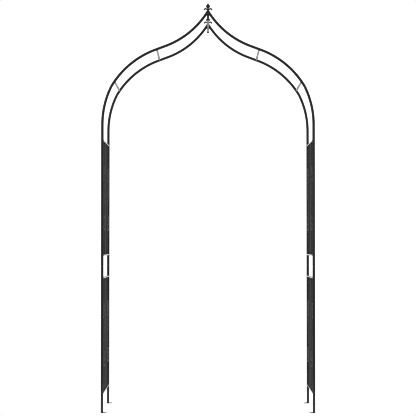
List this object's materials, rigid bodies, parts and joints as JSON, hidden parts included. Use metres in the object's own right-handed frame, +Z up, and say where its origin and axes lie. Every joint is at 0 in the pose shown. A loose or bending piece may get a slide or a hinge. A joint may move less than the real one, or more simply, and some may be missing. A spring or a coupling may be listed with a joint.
{
  "type": "garden arch",
  "caption": "Free-standing walk-through garden arch of round steel tube, with a pointed ogee top, finials and scrollwork side panels for climbing plants.",
  "frame": {"origin": "on the ground, midway between the four legs", "axes": "+X across the walkway, to the right as seen from the front; +Y from the front to the rear; +Z up"},
  "size_m": [1.253, 0.513, 2.4],
  "materials": {
    "frame_coat": "black powder coat, semi-gloss, with a faint orange peel",
    "flat_coat": "black powder coat on bent flat bar, semi-gloss",
    "casting_coat": "black powder coat over a slightly rough casting",
    "fastener_steel": "black-oxide steel screws with worn edges"
  },
  "bodies": {
    "root": {"left_front_foot_plate": "frame_coat", "left_front_lower_leg": "frame_coat", "left_front_upper_leg": "frame_coat", "left_front_arch_tube": "frame_coat", "left_front_leg_screw": "fastener_steel", "left_front_arch_screw": "fastener_steel", "left_rear_foot_plate": "frame_coat", "left_rear_lower_leg": "frame_coat", "left_rear_upper_leg": "frame_coat", "left_rear_arch_tube": "frame_coat", "left_rear_leg_screw": "fastener_steel", "left_rear_arch_screw": "fastener_steel", "left_lower_rung": "frame_coat", "left_upper_rung": "frame_coat", "lower_left_bottom_rail": "flat_coat", "lower_left_top_rail": "flat_coat", "lower_left_front_upright": "flat_coat", "lower_left_front_scroll": "flat_coat", "lower_left_rear_upright": "flat_coat", "lower_left_rear_scroll": "flat_coat", "upper_left_bottom_rail": "flat_coat", "upper_left_top_rail": "flat_coat", "upper_left_front_upright": "flat_coat", "upper_left_front_scroll": "flat_coat", "upper_left_rear_upright": "flat_coat", "upper_left_rear_scroll": "flat_coat", "right_front_foot_plate": "frame_coat", "right_front_lower_leg": "frame_coat", "right_front_upper_leg": "frame_coat", "right_front_arch_tube": "frame_coat", "right_front_leg_screw": "fastener_steel", "right_front_arch_screw": "fastener_steel", "right_rear_foot_plate": "frame_coat", "right_rear_lower_leg": "frame_coat", "right_rear_upper_leg": "frame_coat", "right_rear_arch_tube": "frame_coat", "right_rear_leg_screw": "fastener_steel", "right_rear_arch_screw": "fastener_steel", "right_lower_rung": "frame_coat", "right_upper_rung": "frame_coat", "lower_right_bottom_rail": "flat_coat", "lower_right_top_rail": "flat_coat", "lower_right_front_upright": "flat_coat", "lower_right_front_scroll": "flat_coat", "lower_right_rear_upright": "flat_coat", "lower_right_rear_scroll": "flat_coat", "upper_right_bottom_rail": "flat_coat", "upper_right_top_rail": "flat_coat", "upper_right_front_upright": "flat_coat", "upper_right_front_scroll": "flat_coat", "upper_right_rear_upright": "flat_coat", "upper_right_rear_scroll": "flat_coat", "ridge_bar": "frame_coat", "front_finial": "casting_coat", "front_apex_plate": "frame_coat", "front_apex_screw": "fastener_steel", "rear_finial": "casting_coat", "rear_apex_plate": "frame_coat", "rear_apex_screw": "fastener_steel"}
  },
  "joints": []
}
